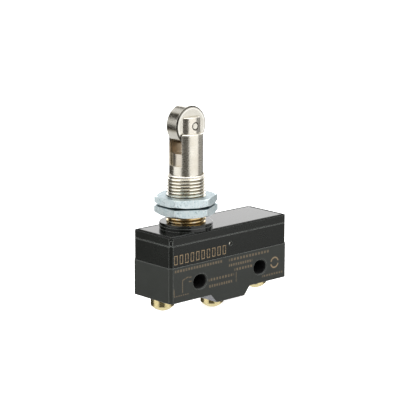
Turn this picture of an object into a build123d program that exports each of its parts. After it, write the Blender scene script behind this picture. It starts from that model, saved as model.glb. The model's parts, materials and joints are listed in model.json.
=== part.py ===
"""Snap-action limit switch with a panel-mount roller plunger.

Frame: X along the case, Y across its thickness, +Z up to the roller.
Origin: centre of the side-hole pattern, half way through the case. Millimetres.
"""
from build123d import *
import os

os.makedirs("parts", exist_ok=True)

# Case
case_length = 49.2
case_width = 17.45
case_height = 20.0
wall = 1.6
floor_thickness = 2.4
corner_chamfer = 0.9
parting_height = 10.9       # underside of the case to the seam between base and cover
cover_step = 0.15           # the cover is this much smaller than the base, all round
seam_below_rim = 2.3
seam_depth = 0.25
rim_side = 0.8
rim_end = 1.0
rim_depth = 2.1
rim_edge = 0.4              # chamfer on the rim's inner edge
deck_thickness = 1.5
corner_slot_width = 0.8
corner_slot_height = 1.6

# Side mounting holes
hole_pitch = 25.4
hole_height = 5.1           # hole centre above the underside
hole_width = 4.3
hole_length = 5.3
hole_edge_chamfer = 0.3
boss_wall = 1.2

# Block under the case that carries the middle terminal
block_drop = 2.75
block_top_length = 16.4
block_bottom_length = 11.6

# Terminals and their screws
common_terminal_inset = 4.4     # near case end to the common screw
open_terminal_offset = 0.4      # case middle to the middle screw
closed_terminal_inset = 5.5     # far case end to the far screw
foot_length = 5.8
foot_width = 6.4
foot_thickness = 1.0
strip_thickness = 0.8
strip_width = 5.0
shelf_gap = 0.55            # boss to the strip that passes over it
screw_shank_radius = 2.0
screw_length = 2.2
screw_head_radius = 3.6
screw_head_height = 4.3
screw_head_side = 2.5
screw_recess_width = 0.9
screw_recess_length = 4.4
screw_recess_depth = 1.2
foot_clearance = 0.1

# Contacts
contact_radius = 1.7
contact_height = 0.8
contact_shank_radius = 0.7
contact_gap = 0.55
contact_rest_gap = 0.05
contact_inset = 9.0         # case end to the contacts
blade_thickness = 0.3
blade_width = 5.0
blade_tip = 1.8             # blade and shelf beyond the contact's centre
blade_window_length = 6.6
blade_window_width = 2.4
blade_window_inset = 15.0   # case end to the window's near edge
bow_length = 7.8
bow_width = 1.8
bow_rise = 1.5
bow_thickness = 0.2
anchor_length = 3.2
anchor_width = 5.2
anchor_cap = 1.2            # anchor above its groove
groove_depth = 1.2
groove_clearance = 0.15
groove_end_gap = 0.2
rivet_radius = 0.6
rivet_head_radius = 1.0
rivet_head_height = 0.4

# Cover pin
pin_hole_radius = 0.65
pin_height = 14.7           # above the underside
pin_recess = 0.5

# Top plate and collar
plate_gap = 0.25
plate_proud = 0.15
plate_edge = 0.2
collar_radius = 8.2
collar_height = 1.95
collar_edge = 0.3
collar_groove_width = 0.2
collar_groove_depth = 0.15
collar_groove_drop = 0.75   # collar's top to its groove

# Bushing
bushing_inset = 14.0        # case end to the bushing's axis
flange_step = 1.0           # flange beyond the thread
flange_thickness = 1.1
flange_side_wall = 0.8      # plate left beside the flange's two flats
thread_radius = 6.0
thread_length = 14.6
thread_chamfer = 0.6
sleeve_wall = 0.82
sleeve_length = 12.6
sleeve_chamfer = 0.3
sleeve_slot_step = 0.3      # sleeve's slot beyond the fork's, each side
sleeve_slot_depth = 9.8
lower_bore_height = 16.2    # up from the bushing's bottom
seat_thickness = 1.5
seat_hole_radius = 1.3

# Hexagon nuts
nut_across_flats = 17.0
nut_thickness = 2.6
nut_bore_clearance = 0.03
nut_stand_off = 2.5         # collar to the lower nut
nut_gap = 0.35
nut_chamfer_rise = 0.7      # on the lower face
nut_edge_rise = 0.2         # on the upper face
lower_nut_turn = -32.5
upper_nut_turn = -30.0

# Plunger, roller and their pin
plunger_radius = 4.25
plunger_skirt_step = 0.45
plunger_skirt_height = 4.0
plunger_running_gap = 0.05
plunger_stop_gap = 0.1
plunger_bore_radius = 3.0
plunger_bore_depth = 9.1
ear_height = 5.0            # ears above the sleeve's top
ear_above_axis = 2.7
roller_radius = 5.95
roller_width = 4.8
roller_side_gap = 0.1
roller_chamfer = 0.3
roller_floor_gap = 2.5      # roller to the fork's floor
roller_pin_radius = 1.1
roller_pin_clearance = 0.05
roller_pin_inset = 0.15     # pin ends inside the plunger's outline
plunger_edge = 0.25

# Push rod, its clip and the pin plunger
clip_thickness = 0.7
clip_hole_radius = 1.5
rod_radius = 1.2
rod_head_radius = 2.8
rod_head_height = 1.2
touch_gap = 0.05
pin_plunger_radius = 1.6
pin_plunger_clearance = 0.05
pin_plunger_below_deck_top = 0.7

# Springs
return_wire = 0.7
return_radius = 3.85
return_turns = 5.0
overtravel_wire = 0.5
overtravel_radius = 2.3
overtravel_turns = 6.0
spring_end_gap = 0.05

# Levels
case_bottom = -hole_height
case_top = case_bottom + case_height
parting_level = case_bottom + parting_height
deck_top = case_top - rim_depth
deck_bottom = deck_top - deck_thickness
plate_top = case_top + plate_proud
collar_top = plate_top + collar_height
thread_top = collar_top + thread_length
sleeve_top = thread_top + sleeve_length
block_bottom = case_bottom - block_drop
shelf_bottom = hole_width / 2 + boss_wall + shelf_gap
shelf_top = shelf_bottom + strip_thickness
open_contact_top = shelf_top + contact_height
moving_contact_bottom = open_contact_top + contact_gap
blade_bottom = moving_contact_bottom + contact_height
blade_top = blade_bottom + blade_thickness
moving_contact_top = blade_top + contact_height
closed_contact_bottom = moving_contact_top + contact_rest_gap
closed_shelf_bottom = closed_contact_bottom + contact_height
closed_shelf_top = closed_shelf_bottom + strip_thickness
ear_top = sleeve_top + ear_height
roller_level = ear_top - ear_above_axis
fork_floor = roller_level - roller_radius - roller_floor_gap
bore_shoulder = deck_top + lower_bore_height
skirt_top = bore_shoulder - plunger_stop_gap
plunger_bottom = skirt_top - plunger_skirt_height
seat_top = deck_top + seat_thickness
clip_top = plunger_bottom + clip_thickness
rod_head_bottom = clip_top + touch_gap
rod_head_top = rod_head_bottom + rod_head_height
pin_plunger_top = deck_top - pin_plunger_below_deck_top
pin_plunger_bottom = blade_top + touch_gap

# Sizes that follow from a neighbour's
plunger_skirt_radius = plunger_radius + plunger_skirt_step
lower_bore_radius = plunger_skirt_radius + plunger_running_gap
upper_bore_radius = plunger_radius + plunger_running_gap
sleeve_radius = upper_bore_radius + sleeve_wall
flange_radius = thread_radius + flange_step
fork_width = roller_width + 2 * roller_side_gap
sleeve_slot_width = fork_width + 2 * sleeve_slot_step

# Stations along the case
bushing_x = bushing_inset - case_length / 2
common_terminal_x = common_terminal_inset - case_length / 2
closed_terminal_x = case_length / 2 - closed_terminal_inset
riser_offset = foot_length / 2 - strip_thickness
contact_x = case_length / 2 - contact_inset
blade_end_x = contact_x + blade_tip
anchor_end_x = common_terminal_x + riser_offset
anchor_start_x = anchor_end_x - anchor_length
pivot_x = anchor_end_x - groove_depth + groove_end_gap
window_x = case_length / 2 - blade_window_inset
cover_length = case_length - 2 * cover_step
cover_width = case_width - 2 * cover_step
plate_length = cover_length - 2 * rim_end - 2 * plate_gap
plate_width = cover_width - 2 * rim_side - 2 * plate_gap
flange_flats = plate_width - 2 * flange_side_wall

terminal_stations = (common_terminal_x, open_terminal_offset, closed_terminal_x)
terminal_levels = (case_bottom, block_bottom, case_bottom)
riser_stations = [station + riser_offset for station in terminal_stations]
hole_stations = (-hole_pitch / 2, hole_pitch / 2)
bushing_axis = Axis((bushing_x, 0, 0), (0, 0, 1))
bushing_section = Plane(origin=(bushing_x, 0, 0), x_dir=(1, 0, 0), z_dir=(0, -1, 0))
roller_plane = Plane(origin=(bushing_x, 0, roller_level), x_dir=(1, 0, 0), z_dir=(0, -1, 0))


def bushing_plane(level):
    """Horizontal plane centred on the bushing's axis."""
    return Plane(origin=(bushing_x, 0, level))


def block(x_range, y_width, z_range, mode=Mode.ADD):
    """Adds or cuts a box given by its X range, its width about Y = 0 and its Z range."""
    centre = ((x_range[0] + x_range[1]) / 2, 0)
    with BuildSketch(Plane.XY.offset(z_range[0])) as outline:
        with Locations(centre):
            Rectangle(x_range[1] - x_range[0], y_width)
    extrude(outline.sketch, amount=z_range[1] - z_range[0], mode=mode)


def prism(length, width, level, height, edge, mode=Mode.ADD):
    """Adds or cuts a block centred on the case, with chamfered upright edges."""
    with BuildSketch(Plane.XY.offset(level)) as outline:
        Rectangle(length, width)
        chamfer(outline.vertices(), length=edge)
    extrude(outline.sketch, amount=height, mode=mode)


def disc(x, level, radius, height, mode=Mode.ADD):
    """Adds or cuts an upright cylinder on the case's centre line."""
    with BuildSketch(Plane.XY.offset(level)) as outline:
        with Locations((x, 0)):
            Circle(radius)
    extrude(outline.sketch, amount=height, mode=mode)


def flange_outline(level):
    """Outline of the bushing's flange: a circle with two flats that keep it from turning."""
    with BuildSketch(bushing_plane(level)) as outline:
        Circle(flange_radius)
        Rectangle(2 * flange_radius, flange_flats, mode=Mode.INTERSECT)
    return outline.sketch


def save(piece, label):
    """Labels a finished piece and writes it."""
    piece.part.label = label
    export_step(piece.part, f"parts/{label}.step")


# Lower half of the case, with its hole bosses and the block for the middle terminal
with BuildPart() as case_base:
    prism(case_length, case_width, case_bottom, parting_height, corner_chamfer)
    cavity_level = case_bottom + floor_thickness
    block(
        (wall - case_length / 2, case_length / 2 - wall),
        case_width - 2 * wall,
        (cavity_level, parting_level),
        mode=Mode.SUBTRACT,
    )
    with BuildSketch(Plane.XZ):
        with Locations(*[(x, 0) for x in hole_stations]):
            SlotOverall(hole_length + 2 * boss_wall, hole_width + 2 * boss_wall)
    extrude(amount=case_width / 2 - wall, both=True)
    with BuildSketch(Plane.XZ):
        with BuildLine():
            Polyline(
                (-block_top_length / 2, case_bottom),
                (-block_bottom_length / 2, block_bottom),
                (block_bottom_length / 2, block_bottom),
                (block_top_length / 2, case_bottom),
                close=True,
            )
        make_face()
    extrude(amount=case_width / 2, both=True)
    with BuildSketch(Plane.XZ):
        with Locations(*[(x, 0) for x in hole_stations]):
            SlotOverall(hole_length, hole_width)
    extrude(amount=case_width / 2, both=True, mode=Mode.SUBTRACT)
    for side in (-1, 1):
        face_plane = Plane(origin=(0, side * case_width / 2, 0), x_dir=(1, 0, 0), z_dir=(0, -side, 0))
        with BuildSketch(face_plane):
            with Locations(*[(x, 0) for x in hole_stations]):
                SlotOverall(hole_length + 2 * hole_edge_chamfer, hole_width + 2 * hole_edge_chamfer)
        extrude(amount=hole_edge_chamfer, taper=45, mode=Mode.SUBTRACT)
    for terminal_x, riser_x, foot_bottom in zip(terminal_stations, riser_stations, terminal_levels):
        half_foot = foot_length / 2 + foot_clearance
        foot_top = foot_bottom + foot_thickness
        block(
            (terminal_x - half_foot, terminal_x + half_foot),
            foot_width + 2 * foot_clearance,
            (foot_bottom, foot_top),
            mode=Mode.SUBTRACT,
        )
        disc(terminal_x, foot_top, screw_shank_radius + foot_clearance, floor_thickness, mode=Mode.SUBTRACT)
        block(
            (riser_x - foot_clearance, riser_x + strip_thickness + foot_clearance),
            strip_width + 2 * foot_clearance,
            (foot_top, cavity_level),
            mode=Mode.SUBTRACT,
        )
save(case_base, "case_base")

# Upper half of the case, with the deck that guides the pin plunger and the rim
with BuildPart() as case_cover:
    prism(cover_length, cover_width, parting_level, case_top - parting_level, corner_chamfer)
    block(
        (wall - cover_length / 2, cover_length / 2 - wall),
        cover_width - 2 * wall,
        (parting_level, deck_bottom),
        mode=Mode.SUBTRACT,
    )
    prism(
        cover_length - 2 * rim_end,
        cover_width - 2 * rim_side,
        deck_top,
        rim_depth,
        corner_chamfer / 2,
        mode=Mode.SUBTRACT,
    )
    rim_top = case_cover.faces().sort_by(Axis.Z)[-1]
    chamfer(rim_top.inner_wires()[0].edges(), length=rim_edge)
    seam_level = case_top - seam_below_rim
    with BuildSketch(Plane.XY.offset(seam_level - seam_depth)):
        Rectangle(case_length, case_width)
        Rectangle(cover_length - 2 * seam_depth, cover_width - 2 * seam_depth, mode=Mode.SUBTRACT)
    extrude(amount=seam_depth, mode=Mode.SUBTRACT)
    for x_side in (-1, 1):
        for y_side in (-1, 1):
            corner = (
                x_side * (cover_length / 2 - corner_chamfer / 2),
                y_side * (cover_width / 2 - corner_chamfer / 2),
            )
            slot_centre = seam_level + corner_slot_height / 2
            slot_plane = Plane(
                origin=(corner[0], corner[1], slot_centre),
                x_dir=(0, 0, 1),
                z_dir=(x_side, y_side, 0),
            )
            with BuildSketch(slot_plane):
                SlotOverall(corner_slot_height, corner_slot_width)
            extrude(amount=seam_depth, both=True, mode=Mode.SUBTRACT)
    pin_level = case_bottom + pin_height
    with BuildSketch(Plane.XZ):
        with Locations((0, pin_level)):
            Circle(pin_hole_radius)
    extrude(amount=case_width, both=True, mode=Mode.SUBTRACT)
    guide_radius = pin_plunger_radius + pin_plunger_clearance
    disc(bushing_x, deck_bottom, guide_radius, deck_thickness, mode=Mode.SUBTRACT)
save(case_cover, "case_cover")

# Pin that runs through the cover
with BuildPart() as cover_pin:
    with BuildSketch(Plane.XZ):
        with Locations((0, case_bottom + pin_height)):
            Circle(pin_hole_radius)
    extrude(amount=cover_width / 2 - pin_recess, both=True)
    chamfer(cover_pin.edges().filter_by(GeomType.CIRCLE), length=pin_hole_radius / 4)
save(cover_pin, "cover_pin")

# Plate in the rim, moulded with the round collar
with BuildPart() as top_plate:
    prism(plate_length, plate_width, deck_top, plate_top - deck_top, corner_chamfer / 2)
    chamfer(top_plate.faces().sort_by(Axis.Z)[-1].edges(), length=plate_edge)
    disc(bushing_x, plate_top, collar_radius, collar_height)
    fillet(top_plate.faces().sort_by(Axis.Z)[-1].edges(), radius=collar_edge)
    with BuildSketch(bushing_plane(collar_top - collar_groove_drop)):
        Circle(collar_radius)
        Circle(collar_radius - collar_groove_depth, mode=Mode.SUBTRACT)
    extrude(amount=-collar_groove_width, mode=Mode.SUBTRACT)
    extrude(flange_outline(deck_top), amount=flange_thickness, mode=Mode.SUBTRACT)
    disc(bushing_x, deck_top, thread_radius, collar_top - deck_top, mode=Mode.SUBTRACT)
save(top_plate, "top_plate")

# Threaded bushing with the slotted sleeve that keys the roller
with BuildPart() as bushing:
    with BuildSketch(bushing_section):
        with BuildLine():
            Polyline(
                (lower_bore_radius, deck_top),
                (thread_radius, deck_top),
                (thread_radius, thread_top - thread_chamfer),
                (thread_radius - thread_chamfer, thread_top),
                (sleeve_radius, thread_top),
                (sleeve_radius, sleeve_top - sleeve_chamfer),
                (sleeve_radius - sleeve_chamfer, sleeve_top),
                (upper_bore_radius, sleeve_top),
                (upper_bore_radius, bore_shoulder),
                (lower_bore_radius, bore_shoulder),
                close=True,
            )
        make_face()
    revolve(axis=bushing_axis)
    extrude(flange_outline(deck_top), amount=flange_thickness)
    disc(bushing_x, deck_top, lower_bore_radius, flange_thickness, mode=Mode.SUBTRACT)
    with BuildSketch(bushing_plane(sleeve_top)):
        Rectangle(3 * sleeve_radius, sleeve_slot_width)
    extrude(amount=-sleeve_slot_depth, mode=Mode.SUBTRACT)
save(bushing, "bushing")

# Spring seat pressed into the bottom of the bushing
with BuildPart() as spring_seat:
    disc(bushing_x, deck_top, lower_bore_radius, seat_thickness)
    disc(bushing_x, deck_top, seat_hole_radius, seat_thickness, mode=Mode.SUBTRACT)
save(spring_seat, "spring_seat")


def hexagon_nut(level, turn):
    """Hexagon nut with turned chamfers, the deeper one on its lower face."""
    corner_radius = nut_across_flats / 3**0.5
    flat_radius = nut_across_flats / 2
    top = level + nut_thickness
    turned = [(0, level), (flat_radius, level), (corner_radius, level + nut_chamfer_rise)]
    turned += [(corner_radius, top - nut_edge_rise), (flat_radius, top), (0, top)]
    with BuildPart() as nut:
        with BuildSketch(bushing_plane(level)):
            RegularPolygon(flat_radius, 6, major_radius=False, rotation=turn)
        extrude(amount=nut_thickness)
        with BuildSketch(bushing_section):
            with BuildLine():
                Polyline(*turned, close=True)
            make_face()
        revolve(axis=bushing_axis, mode=Mode.INTERSECT)
        disc(bushing_x, level, thread_radius + nut_bore_clearance, nut_thickness, mode=Mode.SUBTRACT)
    return nut


lower_nut_level = collar_top + nut_stand_off
upper_nut_level = lower_nut_level + nut_thickness + nut_gap
lower_nut = hexagon_nut(lower_nut_level, lower_nut_turn)
save(lower_nut, "lower_nut")
upper_nut = hexagon_nut(upper_nut_level, upper_nut_turn)
save(upper_nut, "upper_nut")

# Plunger: skirt below, forked ears above
with BuildPart() as plunger:
    with BuildSketch(bushing_section):
        with BuildLine():
            Polyline(
                (plunger_bore_radius, plunger_bottom),
                (plunger_skirt_radius, plunger_bottom),
                (plunger_skirt_radius, skirt_top),
                (plunger_radius, skirt_top),
                (plunger_radius, ear_top - plunger_edge),
                (plunger_radius - plunger_edge, ear_top),
                (0, ear_top),
                (0, plunger_bottom + plunger_bore_depth),
                (plunger_bore_radius, plunger_bottom + plunger_bore_depth),
                close=True,
            )
        make_face()
    revolve(axis=bushing_axis)
    with BuildSketch(bushing_plane(fork_floor)):
        Rectangle(3 * plunger_radius, fork_width)
    extrude(amount=ear_top - fork_floor, mode=Mode.SUBTRACT)
    with BuildSketch(roller_plane):
        Circle(roller_pin_radius)
    extrude(amount=2 * plunger_radius, both=True, mode=Mode.SUBTRACT)
save(plunger, "plunger")

# Clip pressed into the plunger's bore below the push rod's head
with BuildPart() as plunger_clip:
    disc(bushing_x, plunger_bottom, plunger_bore_radius, clip_thickness)
    disc(bushing_x, plunger_bottom, clip_hole_radius, clip_thickness, mode=Mode.SUBTRACT)
save(plunger_clip, "plunger_clip")

# Roller and the riveted pin that it turns on
with BuildPart() as roller:
    with BuildSketch(roller_plane):
        Circle(roller_radius)
        Circle(roller_pin_radius + roller_pin_clearance, mode=Mode.SUBTRACT)
    extrude(amount=roller_width / 2, both=True)
    rims = roller.edges().filter_by(GeomType.CIRCLE).filter_by(lambda edge: edge.radius > roller_radius / 2)
    chamfer(rims, length=roller_chamfer)
save(roller, "roller")

with BuildPart() as roller_pin:
    with BuildSketch(roller_plane):
        Circle(roller_pin_radius)
    extrude(amount=plunger_radius - roller_pin_inset, both=True)
    chamfer(roller_pin.edges().filter_by(GeomType.CIRCLE), length=roller_pin_radius / 5)
save(roller_pin, "roller_pin")

# Push rod with its head inside the plunger
with BuildPart() as push_rod:
    disc(bushing_x, pin_plunger_top + touch_gap, rod_radius, rod_head_bottom - pin_plunger_top - touch_gap)
    disc(bushing_x, rod_head_bottom, rod_head_radius, rod_head_height)
save(push_rod, "push_rod")

# Insulating pin between the push rod and the blade
with BuildPart() as pin_plunger:
    disc(bushing_x, pin_plunger_bottom, pin_plunger_radius, pin_plunger_top - pin_plunger_bottom)
    fillet(pin_plunger.faces().sort_by(Axis.Z)[0].edges(), radius=pin_plunger_radius / 2)
save(pin_plunger, "pin_plunger")


def coil_spring(bottom, top, radius, wire, turns):
    """Open coil spring on the bushing's axis between two seats."""
    height = top - bottom - wire - 2 * spring_end_gap
    with BuildPart() as spring:
        with BuildLine(bushing_plane(bottom + wire / 2 + spring_end_gap)) as coil:
            Helix(height / turns, height, radius)
        with BuildSketch(Plane(origin=coil.line @ 0, z_dir=coil.line % 0)):
            Circle(wire / 2)
        sweep(path=coil.line)
    return spring


return_spring = coil_spring(seat_top, plunger_bottom, return_radius, return_wire, return_turns)
save(return_spring, "return_spring")
overtravel_spring = coil_spring(
    rod_head_top, plunger_bottom + plunger_bore_depth, overtravel_radius, overtravel_wire, overtravel_turns
)
save(overtravel_spring, "overtravel_spring")


def terminal_strip(place, shelf_range, shelf_level):
    """Terminal: foot under the case, riser through the floor and shelf inside."""
    station = terminal_stations[place]
    riser_x = riser_stations[place]
    foot_bottom = terminal_levels[place]
    with BuildPart() as strip:
        half_foot = foot_length / 2
        block((station - half_foot, station + half_foot), foot_width, (foot_bottom, foot_bottom + foot_thickness))
        shelf_end = shelf_level + strip_thickness
        block((riser_x, riser_x + strip_thickness), strip_width, (foot_bottom, shelf_end))
        block(shelf_range, strip_width, (shelf_level, shelf_end))
        disc(station, foot_bottom, screw_shank_radius, foot_thickness, mode=Mode.SUBTRACT)
    return strip


rivet_x = anchor_start_x + (anchor_length - groove_depth) / 2
common_terminal = terminal_strip(0, (anchor_start_x, riser_stations[0] + strip_thickness), shelf_bottom)
with common_terminal:
    disc(rivet_x, shelf_bottom, rivet_radius, strip_thickness, mode=Mode.SUBTRACT)
save(common_terminal, "common_terminal")

open_terminal = terminal_strip(1, (riser_stations[1], blade_end_x), shelf_bottom)
with open_terminal:
    disc(contact_x, shelf_bottom, contact_shank_radius, strip_thickness, mode=Mode.SUBTRACT)
save(open_terminal, "open_terminal")

closed_terminal = terminal_strip(
    2,
    (contact_x - contact_radius - blade_tip / 2, riser_stations[2] + strip_thickness),
    closed_shelf_bottom,
)
with closed_terminal:
    disc(contact_x, closed_shelf_bottom, contact_shank_radius, strip_thickness, mode=Mode.SUBTRACT)
save(closed_terminal, "closed_terminal")

# Grooved block that the blade pivots in, and its rivet
anchor_top = blade_top + groove_clearance + anchor_cap
with BuildPart() as blade_anchor:
    block((anchor_start_x, anchor_end_x), anchor_width, (shelf_top, anchor_top))
    block(
        (anchor_end_x - groove_depth, anchor_end_x),
        anchor_width,
        (blade_bottom - groove_clearance, blade_top + groove_clearance),
        mode=Mode.SUBTRACT,
    )
    disc(rivet_x, shelf_top, rivet_radius, anchor_top - shelf_top, mode=Mode.SUBTRACT)
save(blade_anchor, "blade_anchor")

with BuildPart() as anchor_rivet:
    disc(rivet_x, shelf_bottom, rivet_radius, anchor_top - shelf_bottom)
    disc(rivet_x, anchor_top, rivet_head_radius, rivet_head_height)
save(anchor_rivet, "anchor_rivet")

# Contact blade with the window that its bowed leaf springs across
with BuildPart() as snap_blade:
    block((pivot_x, blade_end_x), blade_width, (blade_bottom, blade_top))
    block(
        (window_x - blade_window_length, window_x),
        blade_window_width,
        (blade_bottom, blade_top),
        mode=Mode.SUBTRACT,
    )
    disc(contact_x, blade_bottom, contact_shank_radius, blade_thickness, mode=Mode.SUBTRACT)
save(snap_blade, "snap_blade")

with BuildPart() as snap_spring:
    bow_centre = window_x - blade_window_length / 2
    bow_start = bow_centre - bow_length / 2
    bow_end = bow_centre + bow_length / 2
    with BuildSketch(Plane.XZ):
        with BuildLine():
            ThreePointArc((bow_start, blade_top), (bow_centre, blade_top + bow_rise), (bow_end, blade_top))
            Line((bow_end, blade_top), (bow_end, blade_top + bow_thickness))
            ThreePointArc(
                (bow_end, blade_top + bow_thickness),
                (bow_centre, blade_top + bow_rise + bow_thickness),
                (bow_start, blade_top + bow_thickness),
            )
            Line((bow_start, blade_top + bow_thickness), (bow_start, blade_top))
        make_face()
    extrude(amount=bow_width / 2, both=True)
save(snap_spring, "snap_spring")

# Contact rivets
with BuildPart() as moving_contact:
    disc(contact_x, moving_contact_bottom, contact_radius, contact_height)
    disc(contact_x, blade_bottom, contact_shank_radius, blade_thickness)
    disc(contact_x, blade_top, contact_radius, contact_height)
save(moving_contact, "moving_contact")

with BuildPart() as open_contact:
    disc(contact_x, shelf_bottom, contact_shank_radius, strip_thickness)
    disc(contact_x, shelf_top, contact_radius, contact_height)
save(open_contact, "open_contact")

with BuildPart() as closed_contact:
    disc(contact_x, closed_contact_bottom, contact_radius, contact_height)
    disc(contact_x, closed_shelf_bottom, contact_shank_radius, strip_thickness)
save(closed_contact, "closed_contact")

# Three terminal screws with domed, cross-recessed heads
with BuildPart() as terminal_screws:
    for station, foot_bottom in zip(terminal_stations, terminal_levels):
        section = Plane(origin=(station, 0, foot_bottom), x_dir=(1, 0, 0), z_dir=(0, -1, 0))
        with BuildSketch(section):
            with BuildLine():
                Polyline(
                    (0, -screw_head_height),
                    (0, screw_length),
                    (screw_shank_radius, screw_length),
                    (screw_shank_radius, 0),
                    (screw_head_radius, 0),
                    (screw_head_radius, -screw_head_side),
                )
                TangentArc(
                    (0, -screw_head_height),
                    (screw_head_radius, -screw_head_side),
                    tangent=(1, 0),
                    tangent_from_first=True,
                )
            make_face()
        revolve(axis=Axis((station, 0, 0), (0, 0, 1)))
        with BuildSketch(Plane.XY.offset(foot_bottom - screw_head_height)):
            with Locations((station, 0)):
                Rectangle(screw_recess_length, screw_recess_width)
                Rectangle(screw_recess_width, screw_recess_length)
        extrude(amount=screw_recess_depth, mode=Mode.SUBTRACT)
save(terminal_screws, "terminal_screws")
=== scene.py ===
"""Looks of the snap-action limit switch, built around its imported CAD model."""
import json
import math

import bmesh
import bpy
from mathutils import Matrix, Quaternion, Vector


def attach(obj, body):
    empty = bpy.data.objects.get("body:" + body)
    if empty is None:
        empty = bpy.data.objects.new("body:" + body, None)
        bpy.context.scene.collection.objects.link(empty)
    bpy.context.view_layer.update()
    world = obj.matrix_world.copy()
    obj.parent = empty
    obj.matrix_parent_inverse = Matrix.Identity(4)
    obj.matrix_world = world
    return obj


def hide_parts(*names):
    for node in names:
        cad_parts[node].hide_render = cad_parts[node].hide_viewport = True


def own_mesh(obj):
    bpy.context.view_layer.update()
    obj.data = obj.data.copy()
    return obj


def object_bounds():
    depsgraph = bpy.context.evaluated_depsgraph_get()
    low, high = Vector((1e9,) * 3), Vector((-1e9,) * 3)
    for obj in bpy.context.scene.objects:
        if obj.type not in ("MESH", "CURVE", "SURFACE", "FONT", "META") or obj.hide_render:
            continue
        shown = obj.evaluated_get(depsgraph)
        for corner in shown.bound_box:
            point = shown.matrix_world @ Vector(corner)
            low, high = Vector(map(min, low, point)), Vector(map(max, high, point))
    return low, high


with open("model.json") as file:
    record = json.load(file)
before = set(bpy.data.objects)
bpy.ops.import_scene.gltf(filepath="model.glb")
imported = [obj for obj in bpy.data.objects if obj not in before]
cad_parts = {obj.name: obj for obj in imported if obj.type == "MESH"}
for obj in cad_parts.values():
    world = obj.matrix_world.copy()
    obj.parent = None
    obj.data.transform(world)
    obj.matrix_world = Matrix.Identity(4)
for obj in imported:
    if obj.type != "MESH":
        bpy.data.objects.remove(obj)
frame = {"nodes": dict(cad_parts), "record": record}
cad_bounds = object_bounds()

MM = 0.001
MM_IN_METRE = 1000.0

# Levels and stations of the housing, in millimetres
FRONT = -8.725
HOLE_STATION = 12.7
HOLE_HALF_LENGTH = 2.75      # with a small margin
HOLE_HALF_HEIGHT = 2.4
BUSHING_X = -10.6
CASE_BOTTOM = -5.1
CASE_TOP = 14.9
THREAD_BOTTOM = 13.9
THREAD_TOP = 31.6
THREAD_RADIUS = 6.0
THREAD_PITCH = 1.0
THREAD_DEPTH = 0.613
THREAD_ROOT = THREAD_RADIUS - THREAD_DEPTH
LOWER_NUT_BOTTOM = 19.5
NUT_GAP_MIDDLE = 22.275
UPPER_NUT_TOP = 25.05
FORK_FLOOR = 38.05
SLEEVE_TOP = 44.2
ROLLER_LEVEL = 46.5
ROLLER_PIN_RADIUS = 1.1
ROLLER_TREAD = 5.93


# ---------------------------------------------------------------- shader expressions

class Number:
    """A socket that can be used in arithmetic; every operation adds a Math node."""

    def __init__(self, graph, socket):
        self.graph = graph
        self.socket = socket

    def _math(self, operation, *others, clamp=False):
        inputs = {index: other for index, other in enumerate((self,) + others)}
        settings = {"operation": operation, "use_clamp": clamp}
        return self.graph.value("ShaderNodeMath", settings, inputs)

    def __add__(self, other):
        return self._math("ADD", other)

    __radd__ = __add__

    def __sub__(self, other):
        return self._math("SUBTRACT", other)

    def __rsub__(self, other):
        return (self * -1.0) + other

    def __mul__(self, other):
        return self._math("MULTIPLY", other)

    def __truediv__(self, other):
        return self._math("DIVIDE", other)

    def __abs__(self):
        return self._math("ABSOLUTE")

    def __lt__(self, other):
        return self._math("LESS_THAN", other)

    def __gt__(self, other):
        return self._math("GREATER_THAN", other)

    def fraction(self):
        return self._math("FRACT")

    def power(self, exponent):
        return self._math("POWER", exponent)

    def clamped(self):
        return self._math("ADD", 0.0, clamp=True)

    def larger(self, other):
        return self._math("MAXIMUM", other)


def distance(first, second):
    """How far a place is from an axis, from its offsets in two directions."""
    return (first * first + second * second).power(0.5)


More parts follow.
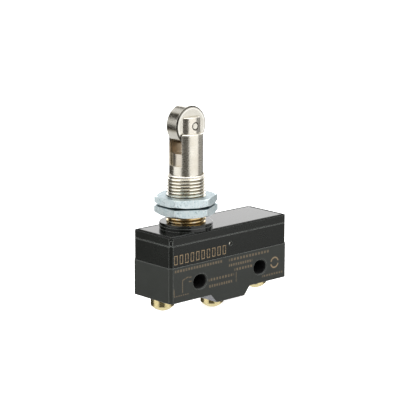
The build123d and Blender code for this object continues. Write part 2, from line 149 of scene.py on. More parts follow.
class Graph:
    """The node tree of a material or the world, built from expressions."""

    BEVEL_SAMPLES = 6
    EDGE_GAIN = 9.0
    EDGE_START = 0.08

    def __init__(self, tree):
        self.tree = tree
        self.tree.nodes.clear()

    def node(self, kind, settings=None, inputs=None):
        """Adds a node: its settings first, then the values or links of its sockets."""
        made = self.tree.nodes.new(kind)
        for name, setting in (settings or {}).items():
            setattr(made, name, setting)
        for name, value in (inputs or {}).items():
            if isinstance(value, Number):
                self.tree.links.new(value.socket, made.inputs[name])
            else:
                made.inputs[name].default_value = value
        return made

    def value(self, kind, settings=None, inputs=None, output=0):
        """Adds a node and returns one of its outputs."""
        return Number(self, self.node(kind, settings, inputs).outputs[output])

    def place(self):
        """Object coordinates, and their X, Y and Z in millimetres."""
        spot = self.value("ShaderNodeTexCoord", output="Object")
        split = self.node("ShaderNodeSeparateXYZ", inputs={0: spot})
        axes = [Number(self, split.outputs[axis]) * MM_IN_METRE for axis in "XYZ"]
        return (spot, *axes)

    def noise(self, spot, size_mm, detail=3.0, roughness=0.5, stretch=(1.0, 1.0, 1.0)):
        """Noise from 0 to 1 whose grain is about size_mm across."""
        scaled = self.value("ShaderNodeMapping", inputs={"Vector": spot, "Scale": stretch})
        inputs = {
            "Vector": scaled,
            "Scale": MM_IN_METRE / size_mm,
            "Detail": detail,
            "Roughness": roughness,
        }
        return self.value("ShaderNodeTexNoise", inputs=inputs)

    def ramp(self, value, start, end):
        """0 below start and 1 above end, with a smooth change between."""
        settings = {"interpolation_type": "SMOOTHSTEP"}
        inputs = {"Value": value, "From Min": start, "From Max": end}
        return self.value("ShaderNodeMapRange", settings, inputs)

    def mix(self, factor, first, second):
        """A colour between two others."""
        inputs = {0: factor, 6: first, 7: second}
        return self.value("ShaderNodeMix", {"data_type": "RGBA"}, inputs, output=2)

    def rounded(self, radius_mm):
        """The normal with its edges rounded, and a mask of those edges."""
        settings = {"samples": self.BEVEL_SAMPLES}
        soft = self.value("ShaderNodeBevel", settings, {"Radius": radius_mm * MM})
        flat = self.value("ShaderNodeNewGeometry", output="True Normal")
        settings = {"operation": "DOT_PRODUCT"}
        along = self.value("ShaderNodeVectorMath", settings, {0: soft, 1: flat}, output="Value")
        return soft, ((1.0 - along) * self.EDGE_GAIN - self.EDGE_START).clamped()

    def bump(self, height, depth_mm, normal=None):
        """A normal that follows a height from 0 to 1."""
        inputs = {"Height": height, "Distance": depth_mm * MM}
        if normal:
            inputs["Normal"] = normal
        return self.value("ShaderNodeBump", inputs=inputs)


def finish(name, build):
    """Makes a material whose Principled inputs come from build(graph)."""
    material = bpy.data.materials.new(name)
    material.use_nodes = True
    graph = Graph(material.node_tree)
    shader = graph.node("ShaderNodeBsdfPrincipled", inputs=build(graph))
    graph.node("ShaderNodeOutputMaterial", inputs={"Surface": Number(graph, shader.outputs[0])})
    return material


def grey(level, tint=(1.0, 1.0, 1.0)):
    """A grey colour with an optional tint."""
    return tuple(level * part for part in tint) + (1.0,)


# ---------------------------------------------------------------- printing on the case

PRINT_INK = (0.19, 0.135, 0.075, 1.0)
PRINT_DEPTH = 0.3            # how far behind the front face the ink may still show, in millimetres
LARGE_INK = 0.85             # how strongly the large marks cover
SMALL_INK = 0.42

# The broken ring, in millimetres
RING_X, RING_Z = 19.0, 0.4
RING_RADIUS = 1.6
RING_HALF_STROKE = 0.22
RING_HALF_GAP = 0.4


def bar(x, z, x_range, z_range):
    """Mask of an upright rectangle on the front of the case."""
    across = (x > x_range[0]) * (x < x_range[1])
    return across * (z > z_range[0]) * (z < z_range[1])


def dashes(x, z, x_range, z_range, step, share, start=0.0):
    """Mask of a row of dashes: a share of every step is ink."""
    return bar(x, z, x_range, z_range) * ((x / step + start).fraction() < share)


def open_boxes(x, z, x_range, z_range, step, share, stroke):
    """Mask of a row of outlined boxes, each as wide as its share of a step."""
    start = -x_range[0] / step
    inner_x = (x_range[0] + stroke, x_range[1])
    inner_z = (z_range[0] + stroke, z_range[1] - stroke)
    inner_share = share - 2 * stroke / step
    outer = dashes(x, z, x_range, z_range, step, share, start)
    hollow = dashes(x, z, inner_x, inner_z, step, inner_share, start - stroke / step)
    return outer * (1.0 - hollow)


def line(x, z, start, end, width):
    """Mask of a straight stroke between two points."""
    run, rise = end[0] - start[0], end[1] - start[1]
    length = math.hypot(run, rise)
    along = (x - start[0]) * (run / length) + (z - start[1]) * (rise / length)
    aside = abs((x - start[0]) * (rise / length) - (z - start[1]) * (run / length))
    return (along > 0.0) * (along < length) * (aside < width / 2)


def front_printing(graph, spot, x, y, z):
    """Generic marks: open boxes, dashed lines, a broken ring and a changeover-contact symbol."""
    heading = [open_boxes(x, z, (-23.1, -1.1), (6.7, 9.5), 2.2, 0.6, 0.24)]
    marks = [
        dashes(x, z, (-23.0, -3.6), (4.3, 5.1), 1.1, 0.62),
        dashes(x, z, (-0.8, 16.4), (4.1, 4.9), 1.3, 0.6),
        dashes(x, z, (-0.8, 9.2), (2.4, 3.2), 1.0, 0.62),
        dashes(x, z, (1.6, 9.4), (0.7, 1.5), 1.2, 0.6),
        dashes(x, z, (-9.2, 1.4), (-0.7, 0.1), 1.2, 0.55),
        dashes(x, z, (-9.2, 0.6), (-2.7, -1.9), 1.0, 0.6),
        bar(x, z, (2.2, 2.45), (-2.8, 0.3)),
        dashes(x, z, (13.6, 22.6), (-3.5, -2.9), 1.1, 0.6),
        line(x, z, (-23.3, -2.9), (-23.3, -0.6), 0.3),
        dashes(x, z, (-23.3, -17.2), (-3.1, -2.8), 0.9, 0.6),
        line(x, z, (-19.9, -2.2), (-19.9, 1.6), 0.3),
        line(x, z, (-19.9, 1.6), (-17.6, 2.3), 0.3),
        bar(x, z, (-17.4, -16.3), (1.9, 2.2)),
        bar(x, z, (-17.4, -16.3), (0.6, 0.9)),
    ]
    ring_x, ring_z = x - RING_X, z - RING_Z
    away = distance(ring_x, ring_z)
    ring = abs(away - RING_RADIUS) < RING_HALF_STROKE
    heading.append(ring * (1.0 - (abs(ring_z) < RING_HALF_GAP)))
    large, small = heading[0], marks[0]
    for mark in heading[1:]:
        large = large.larger(mark)
    for mark in marks[1:]:
        small = small.larger(mark)
    ink = (large * LARGE_INK).larger(small * SMALL_INK)
    worn = graph.ramp(graph.noise(spot, 0.35, detail=4.0), 0.28, 0.5)
    return ink * worn * (y < FRONT + PRINT_DEPTH)


# ---------------------------------------------------------------- finishes

# Phenolic
DARK_TINT = (0.88, 1.0, 0.82)
PALE_TINT = (0.86, 1.0, 0.86)
DUST = grey(0.07)
# painted highlight laid on the rounded edges of the phenolic
PAINTED_EDGE_HIGHLIGHT = grey(0.2, (0.95, 1.0, 0.94))
# painted reflection: a bluish pale grey for the slanted ends
PAINTED_FLOOR_REFLECTION = grey(0.16, (1.0, 1.0, 1.15))
# near black for painted shade, on the rim and in the holes
PAINTED_SHADE_BLACK = grey(0.002)
HOLE_WALL_START = 0.35       # how far behind the face the painted shade on the wall of a hole starts
FACE_MARGIN = 0.1            # keeps the smooth ends and their painted floor reflection off the front and back faces

# Plated metal and steel
GREY_SPECK = grey(0.3, (1.0, 0.92, 0.8))
# painted highlight for the edges of plated metal
PAINTED_METAL_EDGE_HIGHLIGHT = grey(0.97, (1.0, 0.99, 0.96))
PALE_NICKEL = (0.84, 0.81, 0.74, 1.0)
WARM_NICKEL = (0.66, 0.61, 0.52, 1.0)
# painted highlight for the plunger's edges
NICKEL_EDGE_HIGHLIGHT = (0.97, 0.96, 0.93, 1.0)
# painted shade inside the sleeve
PAINTED_SLEEVE_SHADE = (0.34, 0.26, 0.17, 1.0)
DARK_SEAM = (0.06, 0.045, 0.03, 1.0)
PALE_STEEL = (0.73, 0.71, 0.65, 1.0)
WARM_STEEL = (0.59, 0.56, 0.49, 1.0)
# painted highlight for the ring on the roller's side
PAINTED_RING_HIGHLIGHT = (0.93, 0.92, 0.88, 1.0)
# painted reflection: dark surroundings seen in the chamfer at the roller's rim
PAINTED_DARK_RIM = (0.05, 0.045, 0.035, 1.0)
HIGHLIGHT_RING_RADIUS = 5.1            # radius of the painted highlight ring on the roller's side
# where the painted dark reflection on the rim of the roller's side starts and ends
RIM_START, RIM_END = 5.42, 5.55

# Zinc
PALE_ZINC = (0.88, 0.96, 0.98, 1.0)
BLUE_ZINC = (0.64, 0.78, 0.81, 1.0)
# used for the streaks and also as the painted highlight on the nuts' edges
BRIGHT_ZINC = (0.97, 1.0, 1.0, 1.0)
DARK_SPANGLE = (0.24, 0.37, 0.41, 1.0)
# painted shade for the top face of the upper nut
PAINTED_TOP_SHADE = (0.20, 0.26, 0.29, 1.0)
# painted shade in the gap between the nuts
PAINTED_GAP_SHADE = (0.03, 0.09, 0.11, 1.0)

# Thread
THREAD_NICKEL = (0.88, 0.85, 0.76, 1.0)
THREAD_BRASS = (0.70, 0.53, 0.27, 1.0)
# painted shade in the thread's roots
THREAD_ROOT_SHADE = (0.16, 0.12, 0.06, 1.0)
# painted highlight on the thread's crests
THREAD_CREST_HIGHLIGHT = (0.95, 0.93, 0.85, 1.0)


def moulded(
    tone,
    roughness,
    gloss=0.5,
    grain_mm=0.25,
    depth_mm=0.003,
    edge_mm=0.2,
    printing=None,
    dull_and_shaded_above=None,
    smooth_painted_reflection_below=None,
):
    """Moulded phenolic: fine grain, flow marks, dust and edges lightened with a painted highlight.

    The case also has printing, painted shade in its holes, a dull rim darkened with painted shade
    and smooth slanted ends lightened with a painted floor reflection.
    """

    def build(graph):
        spot, x, y, z = graph.place()
        soft, edge = graph.rounded(edge_mm)
        flow = graph.noise(spot, 7.0, detail=5.0, stretch=(0.5, 1.0, 1.6))
        grain = graph.noise(spot, grain_mm, detail=2.0)
        dust = graph.ramp(graph.noise(spot, 0.7, detail=4.0, roughness=0.7), 0.68, 0.84)
        color = graph.mix(flow, grey(tone * 0.75, DARK_TINT), grey(tone * 1.25, PALE_TINT))
        color = graph.mix(dust * 0.1, color, DUST)
        # painted highlight: the rounded edges are lightened in colour
        color = graph.mix(edge * 0.75, color, PAINTED_EDGE_HIGHLIGHT)
        rough = roughness + (flow - 0.5) * 0.12 + (grain - 0.5) * 0.05 + dust * 0.08
        if dull_and_shaded_above:
            dull = z > dull_and_shaded_above
            rough = rough + dull * 0.75
            # the rim's top is made rough and darkened with painted shade
            color = graph.mix(dull * 0.85, color, PAINTED_SHADE_BLACK)
        if smooth_painted_reflection_below:
            smooth = (z < smooth_painted_reflection_below) * (abs(y) < -FRONT - FACE_MARGIN)
            rough = rough - smooth * 0.32
            # painted reflection: the slanted ends are lightened towards a bluish grey, as if
            # reflecting the pale floor
            color = graph.mix(smooth * 0.6, color, PAINTED_FLOOR_REFLECTION)
        if printing:
            shaded_hole = (abs(y) < -FRONT - HOLE_WALL_START) * (abs(z) < HOLE_HALF_HEIGHT)
            shaded_hole = shaded_hole * (abs(abs(x) - HOLE_STATION) < HOLE_HALF_LENGTH)
            # painted shade: the walls of the holes through the case are darkened to near black
            color = graph.mix(shaded_hole, color, PAINTED_SHADE_BLACK)
            rough = rough + shaded_hole * 0.5
            ink = printing(graph, spot, x, y, z)
            color = graph.mix(ink, color, PRINT_INK)
            rough = rough + ink * 0.08
        return {
            "Base Color": color,
            "Roughness": rough.clamped(),
            "Specular IOR Level": gloss,
            "Normal": graph.bump(grain, depth_mm, soft),
        }

    return build


def plated(color, shade, roughness, cloud_mm=3.0, edge_mm=0.08, edge_highlight=0.2):
    """Turned and plated metal: fine rings round the upright axis, clouding, specks and a painted
    highlight on the edges.
    """

    def build(graph):
        spot = graph.place()[0]
        soft, edge = graph.rounded(edge_mm)
        cloud = graph.noise(spot, cloud_mm, detail=5.0)
        rings = graph.noise(spot, 0.1, detail=2.0, stretch=(0.03, 0.03, 1.0))
        speck = graph.ramp(graph.noise(spot, 0.4, detail=4.0, roughness=0.7), 0.62, 0.76)
        tone = graph.mix(cloud, color + (1.0,), shade + (1.0,))
        tone = graph.mix(speck * 0.35, tone, GREY_SPECK)
        # painted highlight: edges are lightened and made less metallic so that they read bright
        tone = graph.mix(edge * edge_highlight, tone, PAINTED_METAL_EDGE_HIGHLIGHT)
        rough = roughness + (cloud - 0.5) * 0.1 + (rings - 0.5) * 0.1
        rough = rough + speck * 0.12 - edge * 0.06
        return {
            "Base Color": tone,
            "Metallic": 1.0 - edge * edge_highlight,
            "Roughness": rough.clamped(),
            "Normal": graph.bump(rings, 0.0012, soft),
        }

    return build


def plunger_nickel(graph):
    """Nickel plate with painted shade inside the sleeve, dark round the ends of the roller's pin
    and with a painted highlight on its edges.
    """
    spot, x, _, z = graph.place()
    soft, edge = graph.rounded(0.08)
    cloud = graph.noise(spot, 2.0, detail=5.0)
    rings = graph.noise(spot, 0.1, detail=2.0, stretch=(0.03, 0.03, 1.0))
    away = distance(x - BUSHING_X, z - ROLLER_LEVEL)
    seam = 1.0 - graph.ramp(abs(away - ROLLER_PIN_RADIUS), 0.12, 0.26)
    # painted shade: darker and browner below the sleeve's top, most of all above the fork's floor
    sleeve_shade = 1.0 - graph.ramp(z + (cloud - 0.5) * 1.5, SLEEVE_TOP - 0.9, SLEEVE_TOP + 0.2)
    sleeve_shade = sleeve_shade * ((z > FORK_FLOOR + 0.05) * 0.6 + 0.4)
    tone = graph.mix(cloud, PALE_NICKEL, WARM_NICKEL)
    tone = graph.mix(sleeve_shade * 0.85, tone, PAINTED_SLEEVE_SHADE)
    tone = graph.mix(seam * 0.9, tone, DARK_SEAM)
    # painted highlight: edges away from the painted shade are lightened and made less metallic
    edge_highlight = edge * (1.0 - sleeve_shade) * (1.0 - seam) * 0.5
    tone = graph.mix(edge_highlight, tone, NICKEL_EDGE_HIGHLIGHT)
    rough = 0.26 + (cloud - 0.5) * 0.12 + (rings - 0.5) * 0.1 + sleeve_shade * 0.06 + seam * 0.3
    return {
        "Base Color": tone,
        "Metallic": 1.0 - edge_highlight,
        "Roughness": rough.clamped(),
        "Normal": graph.bump(rings, 0.0012, soft),
    }


def ground_roller(graph):
    """Ground steel: rings round the roller's own axis on its sides, lines along its tread, a
    painted highlight ring and a painted dark reflection at the rim.
    """
    spot, x, _, z = graph.place()
    soft = graph.rounded(0.1)[0]
    away = distance(x - BUSHING_X, z - ROLLER_LEVEL)
    tread = away > ROLLER_TREAD
    # painted highlight: a bright ring on the side, where a chamfer would catch the light
    ring = 1.0 - graph.ramp(abs(away - HIGHLIGHT_RING_RADIUS), 0.12, 0.3)
    # painted reflection: the outer rim of each side is darkened, as if its chamfer reflected dark
    # surroundings
    rim = graph.ramp(away, RIM_START, RIM_END) * (1.0 - tread)
    cloud = graph.noise(spot, 2.2, detail=5.0)
    turning = {"W": away, "Scale": 9.0, "Detail": 3.0}
    rings = graph.value("ShaderNodeTexNoise", {"noise_dimensions": "1D"}, turning)
    lines = graph.noise(spot, 0.1, detail=2.0, stretch=(0.05, 1.0, 0.05))
    texture = rings * (1.0 - tread) + lines * tread
    tone = graph.mix(cloud, PALE_STEEL, WARM_STEEL)
    tone = graph.mix(ring * 0.5, tone, PAINTED_RING_HIGHLIGHT)
    tone = graph.mix(rim * 0.92, tone, PAINTED_DARK_RIM)
    rough = 0.24 + (cloud - 0.5) * 0.12 + (texture - 0.5) * 0.12 - tread * 0.1
    return {
        "Base Color": tone,
        "Metallic": 1.0,
        "Roughness": rough.clamped(),
        "Normal": graph.bump(texture, 0.0015, soft),
    }


def zinc_nut(graph):
    """Clear zinc plate over drawn bar: streaks up the flats, painted shade on top and between the
    nuts, painted highlight on the edges.
    """
    spot, _, _, z = graph.place()
    soft, edge = graph.rounded(0.14)
    streaks = graph.noise(spot, 0.45, detail=4.0, roughness=0.65, stretch=(1.0, 1.0, 0.15))
    cloud = graph.noise(spot, 2.5, detail=5.0)
    spangle = graph.noise(spot, 0.55, detail=4.0, roughness=0.7)
    tone = graph.mix(cloud, PALE_ZINC, BLUE_ZINC)
    tone = graph.mix(graph.ramp(streaks, 0.5, 0.66) * 0.6, tone, BRIGHT_ZINC)
    tone = graph.mix(graph.ramp(spangle, 0.52, 0.66) * 0.62, tone, DARK_SPANGLE)
    # painted highlight: the nut's edges are lightened and made less metallic
    tone = graph.mix(edge * 0.8, tone, BRIGHT_ZINC)
    turned = graph.noise(spot, 1.1, detail=4.0, roughness=0.7)
    # painted shade: the top face of the upper nut is darkened, with some random variation
    shaded_top = (z > UPPER_NUT_TOP - 0.05) * (0.35 + turned * 0.65)
    tone = graph.mix(shaded_top, tone, PAINTED_TOP_SHADE)
    # painted shade: the faces either side of the gap between the nuts are darkened
    between = 1.0 - graph.ramp(abs(z - NUT_GAP_MIDDLE), 0.2, 0.42)
    tone = graph.mix(between * 0.92, tone, PAINTED_GAP_SHADE)
    rough = 0.42 + (cloud - 0.5) * 0.2 + (streaks - 0.5) * 0.25 - edge * 0.1
    return {
        "Base Color": tone,
        "Metallic": 0.9 - edge * (1.0 - between) * 0.55,
        "Roughness": rough.clamped(),
        "Normal": graph.bump(streaks, 0.008, soft),
    }


def rolled_thread(graph):
    """Nickel plate worn to brass on the thread, most of all below the nuts, with painted shade in
    the roots and a painted highlight on the nickel crests.
    """
    spot, x, y, z = graph.place()
    away = distance(x - BUSHING_X, y)
    low = 1.0 - graph.ramp(z, LOWER_NUT_BOTTOM - 1.0, LOWER_NUT_BOTTOM + 8.0)
    wear = graph.noise(spot, 1.2, detail=5.0, roughness=0.6)
    # painted shade: the roots of the thread are darkened
    root = 1.0 - graph.ramp(away, THREAD_ROOT, THREAD_RADIUS - 0.36)
    # painted highlight: the crests are lightened and made less metallic where the nickel is not
    # worn
    crest_highlight = graph.ramp(away, THREAD_RADIUS - 0.12, THREAD_RADIUS)
    brassy = graph.ramp(wear + low * 0.3, 0.5, 0.85)
    tone = graph.mix(brassy, THREAD_NICKEL, THREAD_BRASS)
    tone = graph.mix(root * 0.85, tone, THREAD_ROOT_SHADE)
    tone = graph.mix(crest_highlight * (1.0 - brassy), tone, THREAD_CREST_HIGHLIGHT)
    lines = graph.noise(spot, 0.12, detail=2.0, stretch=(0.1, 0.1, 1.0))
    return {
        "Base Color": tone,
        "Metallic": 1.0 - crest_highlight * 0.1,
        "Roughness": (0.18 + (wear - 0.5) * 0.12 + root * 0.2).clamped(),
        "Normal": graph.bump(lines, 0.0015),
    }


CASE = finish(
    "case_phenolic",
    moulded(0.016, 0.44, gloss=0.38, printing=front_printing, smooth_painted_reflection_below=CASE_BOTTOM - 0.05),
)
COVER = finish(
    "cover_phenolic",
    moulded(
        0.0065,
        0.26,
        gloss=0.25,
        grain_mm=0.3,
        depth_mm=0.0004,
        printing=front_printing,
        dull_and_shaded_above=CASE_TOP - 0.05,
    ),
)
PLATE = finish(
    "plate_phenolic",
    moulded(0.005, 0.09, gloss=0.4, grain_mm=0.4, depth_mm=0.0006, edge_mm=0.12),
)
NICKEL = finish("nickel_plate", plated((0.84, 0.82, 0.75), (0.66, 0.61, 0.51), 0.27, edge_highlight=0.6))
PLUNGER = finish("plunger_nickel", plunger_nickel)
THREAD = finish("rolled_thread", rolled_thread)
STEEL = finish("roller_steel", ground_roller)
ZINC = finish("zinc_plate", zinc_nut)
BRASS = finish(
    "bright_brass",
    plated((0.90, 0.80, 0.46), (0.80, 0.66, 0.32), 0.2, cloud_mm=1.6, edge_mm=0.15),
)
SPRING = finish("spring_wire", plated((0.55, 0.55, 0.56), (0.42, 0.42, 0.43), 0.3))
COPPER = finish("blade_copper", plated((0.80, 0.52, 0.34), (0.68, 0.40, 0.25), 0.28))
SILVER = finish("contact_silver", plated((0.88, 0.88, 0.86), (0.74, 0.74, 0.73), 0.25))
PIN_PLASTIC = finish("pin_plastic", moulded(0.16, 0.4))

FINISHES = {
    "black_phenolic": CASE,
    "gloss_phenolic": PLATE,
    "nickel": NICKEL,
    "roller_steel": STEEL,
    "zinc": ZINC,
    "brass": BRASS,
    "spring_steel": SPRING,
    "pin_plastic": PIN_PLASTIC,
    "blade_copper": COPPER,
    "silver": SILVER,
}


def dress(piece, material):
    """Gives a piece one material."""
    piece.data.materials.clear()
    piece.data.materials.append(material)


for part in frame["record"]["subparts"]:
    dress(frame["nodes"][part["node"]], FINISHES[part["material_slot"]])

dress(frame["nodes"]["case_cover"], COVER)
dress(frame["nodes"]["plunger"], PLUNGER)
dress(frame["nodes"]["cover_pin"], NICKEL)


# ---------------------------------------------------------------- pieces

JOIN_DISTANCE = 0.000001     # metres
THREAD_JOIN_DISTANCE = 0.000002
CORE_CLEARANCE = 0.08        # between the turned-down bushing and the thread's root, in millimetres
THREAD_SHELL = 0.2           # thickness of the thread's skin, in millimetres
THREAD_STEPS = 72            # facets in one turn
THREAD_CUTS = 7              # cuts across the profile of one pitch
CREST_HALF_WIDTHS = (0.4, 0.3, 0.2)                # of each step out to the crest, in pitches
TAPER_DROPS = (0.6, 0.48, 0.36, 0.24, 0.12)        # below the thread's top, in millimetres
TAPER_SHRINK = 0.98
SPARE_TURNS = 3              # cut off again at the thread's ends


def only(piece):
    """Makes a piece the only selected object and the active one."""
    bpy.ops.object.select_all(action="DESELECT")
    piece.select_set(True)
    bpy.context.view_layer.objects.active = piece


def pick(piece, test):
    """In edit mode, selects the vertices whose place passes a test, given in millimetres."""
    mesh = bmesh.from_edit_mesh(piece.data)
    for vertex in mesh.verts:
        vertex.select_set(bool(test(*(vertex.co / MM))))
    mesh.select_flush(True)
    bmesh.update_edit_mesh(piece.data)


def apply_modifier(piece, kind, **settings):
    """Adds a modifier, sets it up and applies it."""
    modifier = piece.modifiers.new(kind.lower(), kind)
    for name, setting in settings.items():
        setattr(modifier, name, setting)
    only(piece)
    bpy.ops.object.modifier_apply(modifier=modifier.name)


def joined_copy(node, name):
    """A copy of a CAD node with its triangles joined, which stands in for the node."""
    source = frame["nodes"][node]
    piece = bpy.data.objects.new(name, source.data.copy())
    bpy.context.scene.collection.objects.link(piece)
    only(piece)
    bpy.ops.object.mode_set(mode="EDIT")
    bpy.ops.mesh.select_all(action="SELECT")
    bpy.ops.mesh.remove_doubles(threshold=JOIN_DISTANCE)
    bpy.ops.mesh.normals_make_consistent(inside=False)
    bpy.ops.mesh.customdata_custom_splitnormals_clear()
    bpy.ops.object.mode_set(mode="OBJECT")
    bpy.ops.object.shade_smooth_by_angle(angle=math.radians(30))
    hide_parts(node)
    return piece


def bushing_body():
    """The bushing with its thread zone turned down to just under the thread's root."""
    piece = joined_copy("bushing", "bushing_body")
    shrink = (THREAD_ROOT - CORE_CLEARANCE) / THREAD_RADIUS

    def on_crest(x, y, z):
        away = math.hypot(x - BUSHING_X, y)
        return abs(away - THREAD_RADIUS) < 0.05 and z > THREAD_BOTTOM - 0.02

    bpy.ops.object.mode_set(mode="EDIT")
    pick(piece, on_crest)
    axis = (BUSHING_X * MM, 0.0, 0.0)
    bpy.ops.transform.resize(value=(shrink, shrink, 1.0), center_override=axis)
    bpy.ops.object.mode_set(mode="OBJECT")
    dress(piece, NICKEL)
    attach(piece, "housing")


def bushing_thread():
    """The bushing's screw thread: one pitch of its profile, screwed up the axis."""
    start = THREAD_BOTTOM - 1.5 * THREAD_PITCH
    middle = (THREAD_PITCH / 2 + THREAD_ROOT, 0.0, start + THREAD_PITCH / 2)
    crest_step = THREAD_DEPTH / len(CREST_HALF_WIDTHS)
    turns = math.ceil((THREAD_TOP - THREAD_BOTTOM) / THREAD_PITCH) + SPARE_TURNS

    bpy.ops.object.select_all(action="DESELECT")
    bpy.ops.mesh.primitive_plane_add(
        size=THREAD_PITCH * MM, location=(0, 0, 0), rotation=(math.pi / 2, 0, 0)
    )
    piece = bpy.context.object
    piece.name = "bushing_thread"
    bpy.ops.object.transform_apply(location=True, rotation=True)
    bpy.ops.object.mode_set(mode="EDIT")
    pick(piece, lambda x, y, z: x > 0)
    bpy.ops.mesh.delete(type="VERT")
    bpy.ops.mesh.select_all(action="SELECT")
    bpy.ops.mesh.subdivide(number_cuts=THREAD_CUTS)
    bpy.ops.mesh.select_all(action="SELECT")
    bpy.ops.transform.translate(value=[part * MM for part in middle])
    for half_width in CREST_HALF_WIDTHS:
        pick(piece, lambda x, y, z: abs(z - middle[2]) < half_width * THREAD_PITCH)
        bpy.ops.transform.translate(value=(crest_step * MM, 0.0, 0.0))
    bpy.ops.object.mode_set(mode="OBJECT")
    apply_modifier(
        piece,
        "SCREW",
        axis="Z",
        angle=2 * math.pi,
        screw_offset=THREAD_PITCH * MM,
        iterations=turns,
        steps=THREAD_STEPS,
        render_steps=THREAD_STEPS,
        use_merge_vertices=True,
        merge_threshold=THREAD_JOIN_DISTANCE,
    )

    bpy.ops.object.mode_set(mode="EDIT")
    bpy.ops.mesh.select_all(action="SELECT")
    bpy.ops.mesh.remove_doubles(threshold=THREAD_JOIN_DISTANCE)
    for level, outer in ((THREAD_BOTTOM, False), (THREAD_TOP, True)):
        bpy.ops.mesh.select_all(action="SELECT")
        bpy.ops.mesh.bisect(
            plane_co=(0.0, 0.0, level * MM),
            plane_no=(0.0, 0.0, 1.0),
            clear_inner=not outer,
            clear_outer=outer,
        )
    for drop in TAPER_DROPS:
        pick(piece, lambda x, y, z: z > THREAD_TOP - drop)
        bpy.ops.transform.resize(
            value=(TAPER_SHRINK, TAPER_SHRINK, 1.0), center_override=(0.0, 0.0, 0.0)
        )
    bpy.ops.mesh.select_all(action="SELECT")
    bpy.ops.transform.translate(value=(BUSHING_X * MM, 0.0, 0.0))
    bpy.ops.mesh.normals_make_consistent(inside=False)
    bpy.ops.object.mode_set(mode="OBJECT")
    apply_modifier(piece, "SOLIDIFY", thickness=THREAD_SHELL * MM, offset=-1.0)
    only(piece)
    bpy.ops.object.shade_smooth_by_angle(angle=math.radians(35))
    dress(piece, THREAD)
    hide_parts("bushing")
    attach(piece, "housing")


def squashed_spring(node, name, body):
    """A coil spring: a joined copy of its CAD node in spring wire, attached to a body and with its
    own mesh.
    """
    piece = joined_copy(node, name)
    dress(piece, SPRING)
    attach(piece, body)
    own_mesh(piece)


bushing_body()
bushing_thread()
squashed_spring("return_spring", "return_coil", "housing")
squashed_spring("overtravel_spring", "overtravel_coil", "drive_pin")


# ---------------------------------------------------------------- stage

FLOOR_SIZE = 8.0             # metres
FLOOR_GLOW = 0.7             # evens out the shadow under the switch

CAMERA_AZIMUTH = -43.144     # degrees
CAMERA_ELEVATION = 12.725
CAMERA_ROLL = 0.235
CAMERA_DISTANCE = 0.5197     # metres
CAMERA_AIM = (-1.478, 0.0, 19.488)                 # the point that it looks at, in millimetres
PICTURE_WIDTH = 416.0
FOCAL_LENGTH = 1695.07       # on the same scale as the picture's width

LIGHT_AIM = Vector((0.0, 0.0, 0.02))

# What glossy surfaces see of the surround, by the height of the direction they look in
SIDES_SEEN, BELOW_SEEN, ABOVE_SEEN = 0.05, 0.8, 0.9
BELOW_END, BELOW_START = -0.55, -0.3
ABOVE_START, ABOVE_END = 0.61, 0.67
WARM_SIDES = (1.0, 0.92, 0.76, 1.0)


def pale_floor():
    """A plain pale floor under the switch."""
    bottom = cad_bounds[0][2]
    bpy.ops.object.select_all(action="DESELECT")
    bpy.ops.mesh.primitive_plane_add(size=FLOOR_SIZE, location=(0.0, 0.0, bottom))
    floor = bpy.context.object
    floor.name = "floor"
    floor.visible_glossy = False

    def build(graph):
        cloud = graph.noise(graph.place()[0], 40.0)
        return {
            "Base Color": graph.mix(cloud, grey(0.89), grey(0.9)),
            "Roughness": 0.8,
            "Emission Color": grey(1.0),
            "Emission Strength": FLOOR_GLOW,
        }

    floor.data.materials.append(finish("pale_floor", build))


def toward(azimuth_deg, elevation_deg):
    """Unit vector from the switch; azimuth 0 is straight in front of the case."""
    azimuth, elevation = math.radians(azimuth_deg), math.radians(elevation_deg)
    return Vector((
        math.sin(azimuth) * math.cos(elevation),
        -math.cos(azimuth) * math.cos(elevation),
        math.sin(elevation),
    ))


def camera():
    """The camera at the reference viewing angle."""
    back = toward(CAMERA_AZIMUTH, CAMERA_ELEVATION)
    data = bpy.data.cameras.new("camera")
    data.sensor_width = 36.0
    data.lens = FOCAL_LENGTH / PICTURE_WIDTH * data.sensor_width
    data.clip_start = 0.01
    made = bpy.data.objects.new("camera", data)
    bpy.context.scene.collection.objects.link(made)
    aim = Vector([part * MM for part in CAMERA_AIM])
    made.location = aim + CAMERA_DISTANCE * back
    made.rotation_mode = "QUATERNION"
    roll = Quaternion(back, math.radians(CAMERA_ROLL))
    made.rotation_quaternion = roll @ back.to_track_quat("Z", "Y")
    bpy.context.scene.camera = made


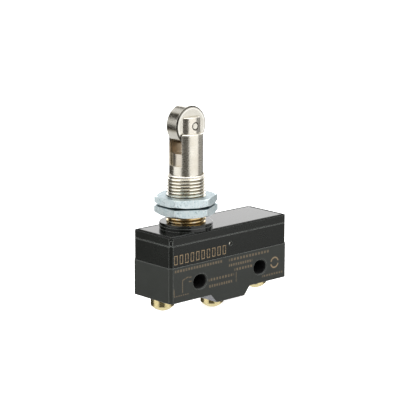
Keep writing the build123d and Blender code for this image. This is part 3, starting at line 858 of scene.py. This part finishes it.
def soft_box(name, turn_deg, elevation_deg, width, height, radiance, reflections_only=False):
    """A soft area light one metre from the switch; turn 0 is on the camera's side."""
    direction = toward(CAMERA_AZIMUTH + turn_deg, elevation_deg)
    data = bpy.data.lights.new(name, "AREA")
    data.shape = "RECTANGLE"
    data.size = width
    data.size_y = height
    data.energy = radiance * math.pi * width * height
    made = bpy.data.objects.new(name, data)
    bpy.context.scene.collection.objects.link(made)
    made.location = LIGHT_AIM + direction
    made.rotation_mode = "QUATERNION"
    made.rotation_quaternion = direction.to_track_quat("Z", "Y")
    made.visible_camera = False
    made.visible_diffuse = not reflections_only


def surround():
    """A white surround; in reflections it is warm and dim at the sides, pale above and below."""
    world = bpy.data.worlds.new("surround")
    bpy.context.scene.world = world
    world.use_nodes = True
    graph = Graph(world.node_tree)
    path = graph.node("ShaderNodeLightPath")
    glossy = Number(graph, path.outputs["Is Glossy Ray"])
    spot = graph.value("ShaderNodeTexCoord", output="Generated")
    split = graph.node("ShaderNodeSeparateXYZ", inputs={0: spot})
    height = Number(graph, split.outputs["Z"])
    below = 1.0 - graph.ramp(height, BELOW_END, BELOW_START)
    above = graph.ramp(height, ABOVE_START, ABOVE_END)
    shown = SIDES_SEEN + below * BELOW_SEEN + above * ABOVE_SEEN
    strength = (1.0 - glossy) + glossy * shown
    tint = graph.mix(glossy * (1.0 - below) * (1.0 - above), grey(1.0), WARM_SIDES)
    light = graph.node("ShaderNodeBackground", inputs={"Color": tint, "Strength": strength})
    graph.node("ShaderNodeOutputWorld", inputs={"Surface": Number(graph, light.outputs[0])})


pale_floor()
camera()
# name, turn and elevation in degrees, width and height in metres, radiance
soft_box("left_box", -61, 20, 1.3, 1.6, 1.25)
soft_box("right_box", 57, 20, 1.65, 1.6, 1.3)
soft_box("far_right_box", 122, 20, 0.8, 1.4, 0.35)
soft_box("top_box", 0, 85, 1.2, 1.2, 0.8)
soft_box("back_box", 180, 15, 1.5, 0.76, 1.75, reflections_only=True)
surround()
bpy.context.scene.view_settings.view_transform = "Standard"
